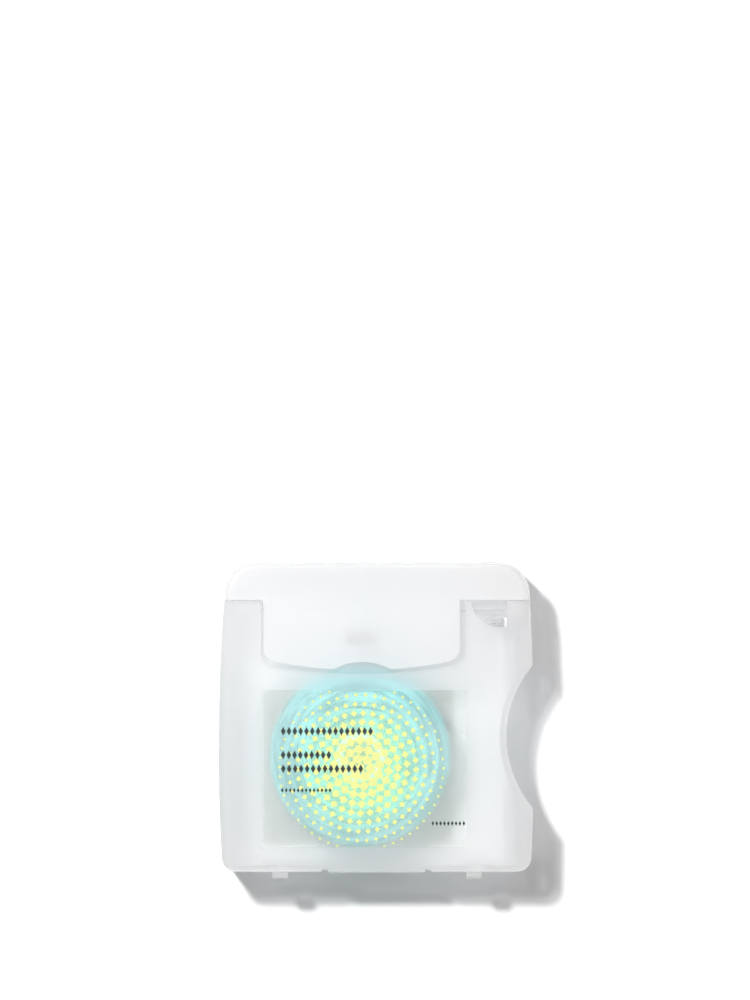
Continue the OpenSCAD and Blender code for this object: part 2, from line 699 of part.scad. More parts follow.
// A closed tube along the points, with its sides set out from the given directions
module tube(points, outs, r, sides) {
    n = len(points);
    rings = [for (i = [0:n - 1]) let (
            way = points[min(i + 1, n - 1)] - points[max(i - 1, 0)],
            t = way / norm(way),
            flat_out = outs[i] - (outs[i] * t) * t,
            u = flat_out / norm(flat_out),
            v = cross(t, u))
        for (j = [0:sides - 1]) points[i] + r * (cos(j * 360 / sides) * u + sin(j * 360 / sides) * v)];
    polyhedron(rings, concat(
        [[for (j = [sides - 1:-1:0]) j]],
        [for (i = [0:n - 2], j = [0:sides - 1]) let (k = (j + 1) % sides)
            each [[i * sides + j, i * sides + k, (i + 1) * sides + k],
                [i * sides + j, (i + 1) * sides + k, (i + 1) * sides + j]]],
        [[for (j = [0:sides - 1]) (n - 1) * sides + j]]));
}

module floss_turns() {
    color([0.55, 0.84, 0.82]) translate([spool_c[0], spool_c[1], 0])
        tube(layer_path, layer_outs, layer_in, turn_sides);
}

module floss_lead() {
    color([0.6, 0.86, 0.84]) tube(lead_points, [for (p = lead_points) [1, 0, 0]], floss_d / 2, lead_sides);
}

rear_case();
inner_deck();
latch_hook();
cutter();
floss_lead();
back_label();
case_film_hinge();
lid_film_hinge();
front_cover();
cover_film_hinge();
cover_lug_left();
cover_lug_right();
front_label();
flip_lid();
spool_core();
floss_winding();
floss_turns();
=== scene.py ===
# A flip-top dental floss case of frosted plastic, lying on its back on a white table.
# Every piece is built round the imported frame, in metres, in the frame's own axes.
import json
import math

import bmesh
import bpy
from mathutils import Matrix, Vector


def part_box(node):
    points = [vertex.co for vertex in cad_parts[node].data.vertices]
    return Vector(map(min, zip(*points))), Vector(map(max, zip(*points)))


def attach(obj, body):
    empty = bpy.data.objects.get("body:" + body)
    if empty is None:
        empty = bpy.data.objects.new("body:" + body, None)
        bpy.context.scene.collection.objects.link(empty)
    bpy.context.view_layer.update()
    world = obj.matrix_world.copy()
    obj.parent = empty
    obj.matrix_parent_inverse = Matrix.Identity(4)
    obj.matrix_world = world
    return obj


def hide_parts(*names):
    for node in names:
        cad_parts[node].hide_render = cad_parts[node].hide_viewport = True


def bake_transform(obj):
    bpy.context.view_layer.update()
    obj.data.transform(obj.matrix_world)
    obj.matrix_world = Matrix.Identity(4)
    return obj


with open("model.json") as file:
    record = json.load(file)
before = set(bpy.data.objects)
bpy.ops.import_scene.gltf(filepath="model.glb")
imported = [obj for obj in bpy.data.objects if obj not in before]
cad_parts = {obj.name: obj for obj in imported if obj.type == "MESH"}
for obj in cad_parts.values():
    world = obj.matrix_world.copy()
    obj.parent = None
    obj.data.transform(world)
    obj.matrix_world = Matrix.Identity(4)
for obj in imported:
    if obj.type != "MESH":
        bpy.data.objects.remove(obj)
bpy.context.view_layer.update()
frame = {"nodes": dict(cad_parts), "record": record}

MM = 0.001


# Camera. It looks straight down on the front face through a long lens.
# The view's middle lies well beyond the lid, so the case sits in the lower half of the picture.
VIEW_X = -0.14 * MM
VIEW_Y = 39.9 * MM
VIEW_TALL = 181.2 * MM
CAMERA_RISE = 1500 * MM
SENSOR = 36
FAR_CLIP = 10000 * MM


def placed(name, data):
    """A new object of the scene with that data."""
    made = bpy.data.objects.new(name, data)
    bpy.context.scene.collection.objects.link(made)
    return made


front_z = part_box("front_cover")[1].z
camera_data = bpy.data.cameras.new("camera")
camera_data.sensor_width = SENSOR
camera_data.lens = SENSOR * CAMERA_RISE / VIEW_TALL
camera_data.clip_end = FAR_CLIP
camera = placed("camera", camera_data)
camera.location = (VIEW_X, VIEW_Y, front_z + CAMERA_RISE)
bpy.context.scene.camera = camera
bpy.context.scene.view_settings.view_transform = "Standard"
# A lamp's ray may cross several thin see-through walls before it reaches the spool
bpy.context.scene.cycles.transparent_max_bounces = 32
bpy.context.scene.cycles.max_bounces = 32
bpy.context.scene.cycles.transmission_bounces = 24
bpy.context.scene.cycles.diffuse_bounces = 12


# Light. A small soft lamp, 0.8 m off on the upper left, throws the shadow down to the right.
# A white room, brighter on the right and beyond the lid, fills that shadow.
# Together they light a level white card to about 1.
LAMP_PLACE = Vector((-235, 275, 720)) * MM
LAMP_RADIUS = 38 * MM
LAMP_SHARE = 0.74
ROOM_SHARE = 0.28

lamp_data = bpy.data.lights.new("lamp", "POINT")
# The power with which it lights a level white card on the table to its share
lamp_data.energy = 4 * math.pi ** 2 * LAMP_SHARE * LAMP_PLACE.length ** 3 / LAMP_PLACE.z
lamp_data.shadow_soft_size = LAMP_RADIUS
lamp = placed("lamp", lamp_data)
lamp.location = LAMP_PLACE


class Wire:
    """An output of a node. Sums, products and powers of wires, or of wires and numbers, add Math nodes."""

    def __init__(self, tree, socket):
        self.tree = tree
        self.socket = socket

    def node(self, kind, settings=None, inputs=None, out=0):
        """Adds a node of that kind, with its settings first and then the values or wires of its sockets."""
        made = self.tree.nodes.new(kind)
        for name, value in (settings or {}).items():
            setattr(made, name, value)
        for name, value in (inputs or {}).items():
            if isinstance(value, Wire):
                self.tree.links.new(value.socket, made.inputs[name])
            elif value is not None:
                made.inputs[name].default_value = value
        return Wire(self.tree, made.outputs[out] if made.outputs else None)

    def math(self, operation, *values):
        return self.node("ShaderNodeMath", {"operation": operation}, dict(enumerate(values)))

    def __add__(self, other):
        return self.math("ADD", self, other)

    def __radd__(self, other):
        return self.math("ADD", other, self)

    def __sub__(self, other):
        return self.math("SUBTRACT", self, other)

    def __rsub__(self, other):
        return self.math("SUBTRACT", other, self)

    def __mul__(self, other):
        return self.math("MULTIPLY", self, other)

    def __rmul__(self, other):
        return self.math("MULTIPLY", other, self)

    def __truediv__(self, other):
        return self.math("DIVIDE", self, other)

    def __pow__(self, other):
        return self.math("POWER", self, other)

    def __lt__(self, other):
        return self.math("LESS_THAN", self, other)

    def __gt__(self, other):
        return self.math("GREATER_THAN", self, other)

    def sine(self):
        return self.math("SINE", self)

    def cosine(self):
        return self.math("COSINE", self)

    def floor(self):
        return self.math("FLOOR", self)

    def size(self):
        return self.math("ABSOLUTE", self)

    def step(self, low, high):
        """A smooth step from 0 at low to 1 at high."""
        settings = {"interpolation_type": "SMOOTHSTEP"}
        return self.node("ShaderNodeMapRange", settings, {
            "Value": self, "From Min": low, "From Max": high, "To Min": 0, "To Max": 1})

    def axes(self):
        """The three parts of a vector."""
        parts = self.node("ShaderNodeSeparateXYZ", None, {"Vector": self}).socket.node
        return [Wire(self.tree, socket) for socket in parts.outputs]

    def mix(self, low, high):
        """The colour low where the wire is 0, and high where it is 1."""
        # The node's sockets for numbers and vectors come before those for colours
        return self.node("ShaderNodeMix", {"data_type": "RGBA"}, {0: self, 6: low, 7: high}, out=2)


def surface(name):
    """A new material and a wire to build its shader with."""
    made = bpy.data.materials.new(name)
    made.use_nodes = True
    made.node_tree.nodes.clear()
    return made, Wire(made.node_tree, None)


def finish_surface(start, shader):
    """Ends a material's tree in that shader."""
    start.node("ShaderNodeOutputMaterial", None, {"Surface": shader})


def rays(start, *kinds):
    """A wire for each kind of ray, 1 for such rays and 0 for the others."""
    path = start.node("ShaderNodeLightPath").socket.node
    return [Wire(start.tree, path.outputs[kind]) for kind in kinds]


def seen(start):
    """1 for rays that show what lies behind: from the camera, in a mirror or through a clear wall."""
    direct, mirrored, through = rays(start, "Is Camera Ray", "Is Glossy Ray", "Is Transmission Ray")
    return start.math("MAXIMUM", direct, start.math("MAXIMUM", mirrored, through))


# The room looks plain white, while its light grows from the dim side to the bright one
ROOM_WHITE = (1.0, 1.0, 1.0, 1)
ROOM_DIM = (0.0, 0.0, 0.0, 1)
ROOM_BRIGHT = (2.03, 1.97, 2.0, 1)
ROOM_WAY = (0.82, 0.57, 0)
world = bpy.data.worlds.new("room")
world.use_nodes = True
world.node_tree.nodes.clear()
room = Wire(world.node_tree, None)
direction = room.node("ShaderNodeTexCoord")
towards = room.node(
    "ShaderNodeVectorMath", {"operation": "DOT_PRODUCT"}, {0: direction, 1: ROOM_WAY}, out="Value")
room_colour = (towards * 0.5 + 0.5).mix(ROOM_DIM, ROOM_BRIGHT)
room_light = room.node("ShaderNodeBackground", None, {"Color": room_colour, "Strength": ROOM_SHARE})
room_view = room.node("ShaderNodeBackground", None, {"Color": ROOM_WHITE, "Strength": 1.0})
room_mix = room.node("ShaderNodeMixShader", None, {0: seen(room), 1: room_light, 2: room_view})
room.node("ShaderNodeOutputWorld", None, {"Surface": room_mix})
bpy.context.scene.world = world


# Table. A plain white sheet that the camera sees as pure white, apart from the case's shadow.
# What it throws back on the case is a little less than white paper would.
TABLE_HALF = 3000 * MM
TABLE_DROP = 0.02 * MM
TABLE_SEEN = (1.15, 1.15, 1.15, 1)
TABLE_BOUNCE = (0.94, 0.94, 0.94, 1)

table_mesh = bpy.data.meshes.new("table")
table_corners = [
    (x * TABLE_HALF, y * TABLE_HALF, -TABLE_DROP)
    for x, y in ((-1, -1), (1, -1), (1, 1), (-1, 1))]
table_mesh.from_pydata(table_corners, [], [(0, 1, 2, 3)])
table = placed("table", table_mesh)
table_white, start = surface("table_white")
table_colour = seen(start).mix(TABLE_BOUNCE, TABLE_SEEN)
finish_surface(start, start.node("ShaderNodeBsdfDiffuse", None, {"Color": table_colour}))
table_mesh.materials.append(table_white)


# Rear case. The deep tray is injection-moulded in milky polypropylene with soft outer edges.
# It carries the spool's post, the chamber's right-hand wall and the recess of the back label.
# The shell's grey is darker than the cover's face, though both are the same plastic: partly the plastic's
# own absorption, partly painted shade that darkens the case's inside
SHELL_COLOUR = (0.87, 0.867, 0.87, 1)
SHELL_BLUR = 0.45
SHELL_MILK = 0.2
SHELL_PASS = 0.76
SHELL_INDEX = 1.4
GLOSS_INDEX = 1.49
GLOSS_BLUR = 0.2
CLOUD_SCALE = 0.11
CLOUD_ON_BLUR = 0.1
CLOUD_ON_MILK = 0.08
GRAIN_SCALE = 5.5
GRAIN_DEPTH = 0.01 * MM
GRAIN_SHARE = 0.05
# Walls and rounded edges are smoother than the level faces, told apart by how far their normals rise
EDGE_POLISH = 0.6
WALL_RISE = 0.4
FACE_RISE = 0.95
SLANT_POWER = 1.5
LEAST_SLANT = 0.001
WELD_GAP = 0.002 * MM
FLAT_ANGLE = math.radians(1)
EDGE_ANGLE = math.radians(35)
EDGE_STEPS = 3
RIM_STEPS = 5
SHADING_WEIGHT = 80
# An edge belongs to the outer rim when it lies this far out from the middle of the case
RIM_X = 23.6 * MM
RIM_Y = 27 * MM
HEIGHT_SLACK = 0.01 * MM
WALL_SLACK = 0.1


def body_of_node(node):
    """The body that a CAD node belongs to."""
    bodies = frame["record"]["behaviour"]["bodies"]
    return next(body for body, nodes in bodies.items() if node in nodes)


def slot_of_node(node):
    """The record's material slot of a CAD node."""
    parts = frame["record"]["subparts"]
    return next(part["material_slot"] for part in parts if part["node"] == node)


def on_rim(edge, level):
    """True for an edge of the case's outline at that height, with a wall that faces outwards."""
    middle = (edge.verts[0].co + edge.verts[1].co) / 2
    level_edge = all(abs(v.co.z - level) < HEIGHT_SLACK for v in edge.verts)
    far_out = abs(middle.x) > RIM_X or abs(middle.y) > RIM_Y
    walls = [f.normal for f in edge.link_faces if abs(f.normal.z) < WALL_SLACK]
    return level_edge and far_out and any(w.x * middle.x + w.y * middle.y > 0 for w in walls)


def softened(node, name, material, round_by, rim_by=0.0, level=0.0):
    """Replaces a CAD node by a copy with rounded edges, and a rounder rim at that height."""
    mesh = bmesh.new()
    mesh.from_mesh(frame["nodes"][node].data)
    bmesh.ops.remove_doubles(mesh, verts=mesh.verts, dist=WELD_GAP)
    bmesh.ops.dissolve_limit(mesh, angle_limit=FLAT_ANGLE, verts=mesh.verts, edges=mesh.edges)
    weights = mesh.edges.layers.float.new("bevel_weight_edge")
    for edge in mesh.edges:
        edge[weights] = 1.0 if rim_by and on_rim(edge, level) else 0.0
    copy = bpy.data.meshes.new(name)
    mesh.to_mesh(copy)
    mesh.free()
    copy.materials.append(material)
    copy.shade_smooth()
    piece = placed(name, copy)
    if rim_by:
        rim = piece.modifiers.new("rim", "BEVEL")
        rim.width = rim_by
        rim.segments = RIM_STEPS
        rim.limit_method = "WEIGHT"
    edges = piece.modifiers.new("edges", "BEVEL")
    edges.width = round_by
    edges.segments = EDGE_STEPS
    edges.limit_method = "ANGLE"
    edges.angle_limit = EDGE_ANGLE
    edges.miter_outer = "MITER_ARC"
    shading = piece.modifiers.new("shading", "WEIGHTED_NORMAL")
    shading.weight = SHADING_WEIGHT
    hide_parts(node)
    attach(piece, body_of_node(node))
    slot_of_node(node)


def place_in_piece(start):
    """The point's place in the piece, in millimetres."""
    where = start.node("ShaderNodeTexCoord", out="Object")
    return start.node("ShaderNodeVectorMath", {"operation": "SCALE"}, {"Vector": where, "Scale": 1 / MM})


def frosted(name, colour=SHELL_COLOUR, blur=SHELL_BLUR, milk=SHELL_MILK, pass_through=SHELL_PASS,
            clearer=None):
    """Milky see-through plastic: blurred clear light, a share of milk, and a way through for the lamp."""
    made, start = surface(name)
    where = place_in_piece(start)
    cloud = start.node("ShaderNodeTexNoise", None, {"Vector": where, "Scale": CLOUD_SCALE, "Detail": 2})
    fine = start.node("ShaderNodeTexNoise", None, {"Vector": where, "Scale": GRAIN_SCALE, "Detail": 2})
    bumps = start.node("ShaderNodeBump", None, {
        "Strength": GRAIN_SHARE, "Distance": GRAIN_DEPTH, "Height": fine})
    rough = blur + (cloud - 0.5) * CLOUD_ON_BLUR
    if clearer:
        rough = clearer(start, where, rough)
    rise = start.node("ShaderNodeTexCoord", out="Normal").axes()[2].size()
    rough = rough * (EDGE_POLISH + (1 - EDGE_POLISH) * rise.step(WALL_RISE, FACE_RISE))
    clear = start.node("ShaderNodeBsdfPrincipled", None, {
        "Base Color": colour, "Roughness": rough, "IOR": SHELL_INDEX,
        "Transmission Weight": 1.0, "Normal": bumps,
        "Coat Weight": 1.0, "Coat Roughness": GLOSS_BLUR, "Coat IOR": GLOSS_INDEX})
    front = start.node("ShaderNodeBsdfDiffuse", None, {"Color": colour})
    back = start.node("ShaderNodeBsdfTranslucent", None, {"Color": colour})
    milky = start.node("ShaderNodeMixShader", None, {0: 0.5, 1: front, 2: back})
    milk_here = milk + (cloud - 0.5) * CLOUD_ON_MILK
    body = start.node("ShaderNodeMixShader", None, {0: milk_here, 1: clear, 2: milky})
    slant = 1 + LEAST_SLANT - start.node("ShaderNodeLayerWeight", None, {"Blend": 0.5}, out="Facing")
    passing = start.math("POWER", pass_through, start.math("DIVIDE", 1, slant ** SLANT_POWER))
    open_way = start.node("ShaderNodeBsdfTransparent")
    veil = start.node("ShaderNodeMixShader", None, {0: passing, 1: milky, 2: open_way})
    scattered, from_lamp = rays(start, "Is Diffuse Ray", "Is Shadow Ray")
    indoors = start.node("ShaderNodeMixShader", None, {0: scattered, 1: body, 2: veil})
    finish_surface(start, start.node("ShaderNodeMixShader", None, {0: from_lamp, 1: indoors, 2: veil}))
    return made


shell_plastic = frosted("shell_plastic")
softened("rear_case", "rear_shell", shell_plastic, round_by=0.18 * MM, rim_by=1.6 * MM, level=0)


# Spool. A white moulded core turns on the case's post with the floss wound round it.
# The floss is a soft waxed multifilament, wound in loose, wandering turns over a full package.
STRAND = 0.6 * MM
OVER_STRAND = STRAND * 0.9
UNDER_TURNS = 46
OVER_TURNS = 17
OVER_RISE = 0.12 * MM
TURN_POINTS = 60
STRAND_SIDES = 7
WIND_ROUND = 5.5 * MM
CORE_DULL = (0.86, 0.88, 0.88, 1)
CORE_PALE = (0.93, 0.94, 0.94, 1)
CORE_BLUR = 0.42
CORE_BLUR_SPREAD = 0.1
SPECKLE_SCALE = 1.5
# A lit and a shaded copy of the floss's teal, for painted highlight and shade on the winding
FLOSS_SHADED = (0.05, 0.38, 0.41, 1)
FLOSS_LIT = (0.26, 0.8, 0.83, 1)
# The floss's tones run along its turns as painted highlight and shade of the winding's ridges: how fast
# they change round the axis, and in a millimetre across
TONE_ALONG = 1.4
TONE_ACROSS = 0.75
TONE_SHARE = 0.8
TONE_LOW = 0.38
TONE_HIGH = 0.62
FIBRE_SCALE = 7.0
FLOSS_BLUR = 0.5
FLOSS_BLUR_SPREAD = 0.2
FLOSS_SHEEN = 0.25
FUZZ_SHARE = 0.4
FUZZ_DEPTH = 0.04 * MM

core_plastic, start = surface("core_plastic")
speckle = start.node("ShaderNodeTexNoise", None, {
    "Vector": place_in_piece(start), "Scale": SPECKLE_SCALE, "Detail": 4})
finish_surface(start, start.node("ShaderNodeBsdfPrincipled", None, {
    "Base Color": speckle.mix(CORE_DULL, CORE_PALE),
    "Roughness": CORE_BLUR + speckle * CORE_BLUR_SPREAD, "IOR": GLOSS_INDEX}))
softened("spool_core", "spool_core_moulded", core_plastic, round_by=0.15 * MM)

core_low, core_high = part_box("spool_core")
turns_low, turns_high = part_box("floss_turns")
wind_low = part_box("floss_winding")[0]
axis_x = (core_low.x + core_high.x) / 2
axis_y = (core_low.y + core_high.y) / 2
core_r = (core_high.x - core_low.x) / 2
wind_r = (turns_high.x - turns_low.x) / 2
wind_top = turns_high.z
wind_foot = turns_low.z + STRAND / 2

floss_material, start = surface("waxed_floss")
where = place_in_piece(start)
x, y, z = where.axes()
from_axis_x = x - axis_x / MM
from_axis_y = y - axis_y / MM
out_from_axis = (from_axis_x * from_axis_x + from_axis_y * from_axis_y) ** 0.5
along_turns = start.node("ShaderNodeCombineXYZ", None, {
    "X": from_axis_x / out_from_axis * TONE_ALONG,
    "Y": from_axis_y / out_from_axis * TONE_ALONG,
    "Z": (out_from_axis - z) * TONE_ACROSS})
tone = start.node("ShaderNodeTexNoise", None, {
    "Vector": along_turns, "Scale": 1.0, "Detail": 3, "Roughness": 0.6})
fibre = start.node("ShaderNodeTexNoise", None, {
    "Vector": where, "Scale": FIBRE_SCALE, "Detail": 4, "Roughness": 0.65})
fuzz = start.node("ShaderNodeBump", None, {
    "Strength": FUZZ_SHARE, "Distance": FUZZ_DEPTH, "Height": fibre})
# Painted highlight and shade in bands along the turns, mixed with the fibres' random tone
ridge_shade_and_fibre = tone * TONE_SHARE + fibre * (1 - TONE_SHARE)
finish_surface(start, start.node("ShaderNodeBsdfPrincipled", None, {
    "Base Color": ridge_shade_and_fibre.step(TONE_LOW, TONE_HIGH).mix(FLOSS_SHADED, FLOSS_LIT),
    "Roughness": FLOSS_BLUR + fibre * FLOSS_BLUR_SPREAD,
    "Sheen Weight": FLOSS_SHEEN, "Normal": fuzz}))

# How fast a strand's wandering and its lift change round the axis, and how far they drift in one turn
WANDER_SCALE = 0.8
LIFT_SCALE = 1.3
LIFT_OFFSET = 40
TURN_DRIFT = 0.83


def wound_tree():
    """A node tree that lays one strand along the package's face, round its shoulder and down its wall."""
    tree = bpy.data.node_groups.new("wound_strand", "GeometryNodeTree")
    sizes = ("Axis X", "Axis Y", "Start radius", "Top", "Face", "Shoulder", "Wall", "Turns", "Thickness",
             "Wander", "Lift", "Seed")
    for name in sizes:
        tree.interface.new_socket(name, in_out="INPUT", socket_type="NodeSocketFloat")
    tree.interface.new_socket("Material", in_out="INPUT", socket_type="NodeSocketMaterial")
    tree.interface.new_socket("Geometry", in_out="OUTPUT", socket_type="NodeSocketGeometry")
    start = Wire(tree, None)
    given = start.node("NodeGroupInput").socket.node
    axis_x, axis_y, first, top, face, shoulder, wall, turns, thick, wander, lift, seed, material = [
        Wire(tree, socket) for socket in given.outputs[:len(sizes) + 1]]
    count = (turns * TURN_POINTS).floor()
    line = start.node("GeometryNodeMeshLine", None, {"Count": count})
    share = start.node("GeometryNodeInputIndex") / count
    turn = share * turns
    angle = turn * math.tau
    round_part = shoulder * (math.pi / 2)

    def noise(scale, offset):
        """A wave from -1 to 1 that drifts slowly from turn to turn."""
        spot = start.node("ShaderNodeCombineXYZ", None, {
            "X": angle.cosine() * scale, "Y": angle.sine() * scale,
            "Z": turn * TURN_DRIFT + seed + offset})
        return start.node("ShaderNodeTexNoise", None, {"Vector": spot, "Scale": 1.0, "Detail": 2}) * 2 - 1

    way = share * (face + round_part + wall) + noise(WANDER_SCALE, 0) * wander
    way = start.math("MAXIMUM", way, 0)
    bend = start.math("MINIMUM", start.math("MAXIMUM", (way - face) / shoulder, 0), math.pi / 2)
    out = noise(LIFT_SCALE, LIFT_OFFSET) * lift
    r = first + start.math("MINIMUM", way, face) + shoulder * bend.sine() + out * bend.sine()
    drop = start.math("MAXIMUM", way - face - round_part, 0)
    z = top - shoulder * (1 - bend.cosine()) - drop + out * bend.cosine()
    spot = start.node("ShaderNodeCombineXYZ", None, {
        "X": axis_x + r * angle.cosine(), "Y": axis_y + r * angle.sine(), "Z": z})
    laid = start.node("GeometryNodeSetPosition", None, {"Geometry": line, "Position": spot})
    path = start.node("GeometryNodeMeshToCurve", None, {"Mesh": laid})
    ring = start.node("GeometryNodeCurvePrimitiveCircle", None, {
        "Resolution": STRAND_SIDES, "Radius": thick / 2})
    tube = start.node("GeometryNodeCurveToMesh", None, {
        "Curve": path, "Profile Curve": ring, "Fill Caps": True})
    plain = start.node("GeometryNodeRealizeInstances", None, {"Geometry": tube})
    made = start.node("GeometryNodeSetMaterial", None, {"Geometry": plain, "Material": material})
    start.node("NodeGroupOutput", None, {"Geometry": made})
    return tree


def grown(name, tree, values):
    """A plain mesh object with what a tree makes from those named inputs."""
    seedling = placed(name + "_tree", bpy.data.meshes.new(name + "_tree"))
    modifier = seedling.modifiers.new("tree", "NODES")
    modifier.node_group = tree
    for item in tree.interface.items_tree:
        if item.in_out == "INPUT" and item.name in values:
            modifier[item.identifier] = values[item.name]
    graph = bpy.context.evaluated_depsgraph_get()
    mesh = bpy.data.meshes.new_from_object(seedling.evaluated_get(graph), depsgraph=graph)
    bpy.data.objects.remove(seedling)
    mesh.name = name
    mesh.shade_smooth()
    return placed(name, mesh)


strand_tree = wound_tree()
# Room that a strand's middle keeps to the core and to the package's outline
STRAND_ROOM = STRAND * 0.6
wound = {
    "Axis X": axis_x, "Axis Y": axis_y, "Material": floss_material,
    "Start radius": core_r + STRAND_ROOM, "Top": wind_top - STRAND_ROOM, "Shoulder": WIND_ROUND,
    "Face": wind_r - WIND_ROUND - core_r - 2 * STRAND_ROOM,
    "Wall": wind_top - WIND_ROUND - wind_foot - STRAND_ROOM,
}
under = grown("wound_floss", strand_tree, {
    **wound, "Turns": UNDER_TURNS, "Thickness": STRAND,
    "Wander": 0.5 * MM, "Lift": 0.16 * MM, "Seed": 3.0})
over = grown("wound_floss_over", strand_tree, {
    **wound, "Turns": OVER_TURNS, "Thickness": OVER_STRAND,
    "Wander": 1.6 * MM, "Lift": 0.1 * MM, "Seed": 17.0,
    "Top": wound["Top"] + OVER_RISE, "Start radius": wound["Start radius"] + OVER_RISE})
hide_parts("floss_turns")
for piece in (under, over):
    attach(piece, "spool")


def lathed(name, profile, steps, x, y):
    """A closed ring, turned from a closed profile of (radius, height) points about an upright axis."""
    mesh = bmesh.new()
    rings = []
    for i in range(steps):
        a = math.tau * i / steps
        rings.append([mesh.verts.new((x + r * math.cos(a), y + r * math.sin(a), z)) for r, z in profile])
    for i in range(steps):
        here, there = rings[i], rings[(i + 1) % steps]
        for j in range(len(profile)):
            k = (j + 1) % len(profile)
            mesh.faces.new((here[j], there[j], there[k], here[k]))
    bmesh.ops.recalc_face_normals(mesh, faces=mesh.faces)
    made = bpy.data.meshes.new(name)
    mesh.to_mesh(made)
    mesh.free()
    made.shade_smooth()
    return placed(name, made)


QUARTER_STEPS = 10


def quarter(r, z, radius, first, last):
    """Points of an arc about (r, z), with its angles in degrees."""
    angles = [math.radians(first + (last - first) * i / QUARTER_STEPS) for i in range(QUARTER_STEPS + 1)]
    return [(r + radius * math.cos(a), z + radius * math.sin(a)) for a in angles]


# The package's inner turns are one smooth body just under the drawn ones
BED_SINK = 0.55 * MM
BED_STEPS = 128
FOOT_ROUND = 1.2 * MM
bed_r = wind_r - BED_SINK
bed_top = wind_top - BED_SINK
bed_round = WIND_ROUND - BED_SINK
bed = lathed("wound_floss_bed", [
    (core_r, wind_low.z),
    *quarter(bed_r - FOOT_ROUND, wind_low.z + FOOT_ROUND, FOOT_ROUND, -90, 0),
    *quarter(bed_r - bed_round, bed_top - bed_round, bed_round, 0, 90),
    (core_r, bed_top)], BED_STEPS, axis_x, axis_y)
bed.data.materials.append(floss_material)
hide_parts("floss_winding")
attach(bed, "spool")


# Inner deck. One thin moulding, set in between the case's side walls over the spool's chamber.
# Its recessed panel lies under the flap, and its roof slopes down under the lid.
# The deck's grey is painted shade: darker than the shells, it darkens the flap and the slots round it,
# which lie deep in the case's shade
DECK_SHADED_GREY = (0.83, 0.833, 0.84, 1)
deck_plastic = frosted("deck_plastic", DECK_SHADED_GREY, blur=0.36, milk=0.24)
softened("inner_deck", "deck_moulded", deck_plastic, round_by=0.12 * MM)


# Cutter. A stamped strip of stainless steel with fine teeth.
# Its leg is pressed into the deck's panel, at the end of the floss's groove.
STEEL_DARK = (0.24, 0.245, 0.25, 1)
STEEL_PALE = (0.4, 0.405, 0.41, 1)
STEEL_BLUR = 0.28
STEEL_BLUR_SPREAD = 0.22
# The brushing's stretch along, across and up the blade
BRUSH_SCALE = (0.6, 14.0, 6.0)

steel, start = surface("cutter_steel")
brushed = start.node("ShaderNodeMapping", None, {"Vector": place_in_piece(start), "Scale": BRUSH_SCALE})
lines = start.node("ShaderNodeTexNoise", None, {"Vector": brushed, "Scale": 2.0, "Detail": 4})
finish_surface(start, start.node("ShaderNodeBsdfPrincipled", None, {
    "Base Color": lines.mix(STEEL_DARK, STEEL_PALE), "Metallic": 1.0,
    "Roughness": STEEL_BLUR + lines * STEEL_BLUR_SPREAD}))
softened("cutter", "cutter_blade", steel, round_by=0.03 * MM)


# Latch hook. It is moulded with the rear case, of the same plastic, and springs from its back wall.
# It catches the edge of the cover's window.
clear_plastic = frosted("clear_plastic", blur=0.3, milk=0.45, pass_through=0.7)
softened("latch_hook", "latch_hook_moulded", clear_plastic, round_by=0.1 * MM)


# Floss lead. One strand of the waxed floss, threaded by hand.
# It runs from the package through the deck's hole and along the groove to the cutter.
LEAD_WIDTH = 0.5 * MM
STRAND_DEEP = (0.44, 0.66, 0.68, 1)
STRAND_PALE = (0.6, 0.79, 0.8, 1)
LEAD_POINTS = [
    (11.3, 2.8, 3.3), (10.5, 3.9, 3.4), (9.7, 5.0, 3.6), (8.8, 6.2, 3.9), (7.9, 7.4, 4.3),
    (7.0, 8.7, 4.7), (6.1, 9.9, 5.2), (5.2, 11.1, 5.7), (4.3, 12.4, 6.2), (3.4, 13.6, 6.7),
    (2.5, 14.8, 7.2), (1.6, 16.1, 7.7), (0.7, 17.3, 8.2), (-0.2, 18.5, 8.7), (-1.1, 19.7, 9.2),
    (-1.9, 20.8, 9.6), (-2.4, 21.6, 10.0), (-2.6, 22.2, 10.35), (-2.6, 22.8, 10.8),
    (-2.6, 23.05, 11.35), (-2.6, 23.0, 11.95), (-2.6, 22.65, 12.5), (-2.6, 22.15, 12.95),
    (-2.6, 21.65, 13.4), (-2.6, 21.15, 13.85), (-2.6, 20.7, 14.35), (-2.6, 20.25, 14.68),
    (-2.6, 19.6, 14.73), (-2.6, 18.5, 14.72), (-2.6, 17.3, 14.72), (-2.6, 16.1, 14.72),
    (-2.6, 15.3, 14.72), (-2.6, 14.8, 14.72)]

strand_material, start = surface("single_strand")
fibre = start.node("ShaderNodeTexNoise", None, {
    "Vector": place_in_piece(start), "Scale": FIBRE_SCALE, "Detail": 4})
finish_surface(start, start.node("ShaderNodeBsdfPrincipled", None, {
    "Base Color": fibre.mix(STRAND_DEEP, STRAND_PALE),
    "Roughness": FLOSS_BLUR + fibre * FLOSS_BLUR_SPREAD, "Sheen Weight": FLOSS_SHEEN}))
lead_curve = bpy.data.curves.new("floss_strand", "CURVE")
lead_curve.dimensions = "3D"
lead_curve.bevel_depth = LEAD_WIDTH / 2
lead_curve.bevel_resolution = 3
lead_curve.use_fill_caps = True
lead_curve.resolution_u = 3
lead_line = lead_curve.splines.new("NURBS")
lead_line.points.add(len(LEAD_POINTS) - 1)
for point, (x, y, z) in zip(lead_line.points, LEAD_POINTS):
    point.co = (x * MM, y * MM, z * MM, 1)
lead_line.use_endpoint_u = True
lead_line.order_u = 4
lead_drawn = placed("floss_strand_drawn", lead_curve)
graph = bpy.context.evaluated_depsgraph_get()
